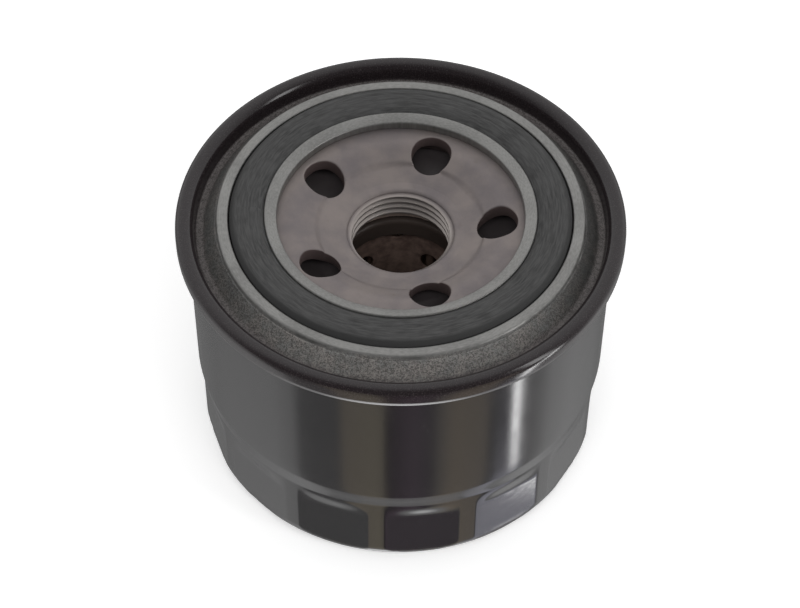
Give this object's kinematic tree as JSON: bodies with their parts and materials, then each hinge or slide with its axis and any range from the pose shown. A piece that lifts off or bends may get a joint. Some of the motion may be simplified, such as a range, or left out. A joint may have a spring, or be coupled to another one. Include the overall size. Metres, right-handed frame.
{
  "type": "oil filter",
  "caption": "Spin-on engine oil filter: black can with wrench flats, rolled seam, threaded plate with inlet holes, rubber gasket, and a sprung pleated element with a relief valve inside.",
  "frame": {"origin": "middle of the closed end's rest face, on the filter's axis", "axes": "+Z along the filter's axis from the closed end to the threaded end; -Y towards the side with a wrench flat 7 degrees right of the middle"},
  "size_m": [0.0858, 0.0858, 0.0603],
  "materials": {
    "can_paint": "gloss",
    "lid_steel": "satin",
    "plate_steel": "satin",
    "cap_steel": "satin",
    "tube_steel": "satin",
    "spring_steel": "satin",
    "gasket_rubber": "matte",
    "valve_rubber": "matte",
    "compound": "matte",
    "adhesive": "satin",
    "filter_paper": "matte"
  },
  "bodies": {
    "housing": {"can_shell": "can_paint", "seaming_lid": "lid_steel", "seam_compound": "compound", "base_plate": "plate_steel", "sealing_gasket": "gasket_rubber", "anti_drain_valve": "valve_rubber", "support_spring": "spring_steel"},
    "element": {"top_end_cap": "cap_steel", "bottom_end_cap": "cap_steel", "top_potting": "adhesive", "bottom_potting": "adhesive", "pleated_media": "filter_paper", "pleat_clip": "cap_steel", "centre_tube": "tube_steel", "bypass_cage": "cap_steel", "bypass_spring": "spring_steel"},
    "relief_valve": {"bypass_seal": "valve_rubber", "bypass_disc": "cap_steel"}
  },
  "joints": [
    {"name": "element_slide", "type": "slide", "parent": "housing", "child": "element", "axis": [0, 0, 1], "range_m": [-0.0022, 0], "stiffness_N_per_m": 4000, "springref_m": 0.006, "deforming": ["support_spring"]},
    {"name": "relief_lift", "type": "slide", "parent": "element", "child": "relief_valve", "axis": [0, 0, 1], "range_m": [0, 0.003], "stiffness_N_per_m": 1000, "springref_m": -0.0095, "deforming": ["bypass_spring"]}
  ]
}
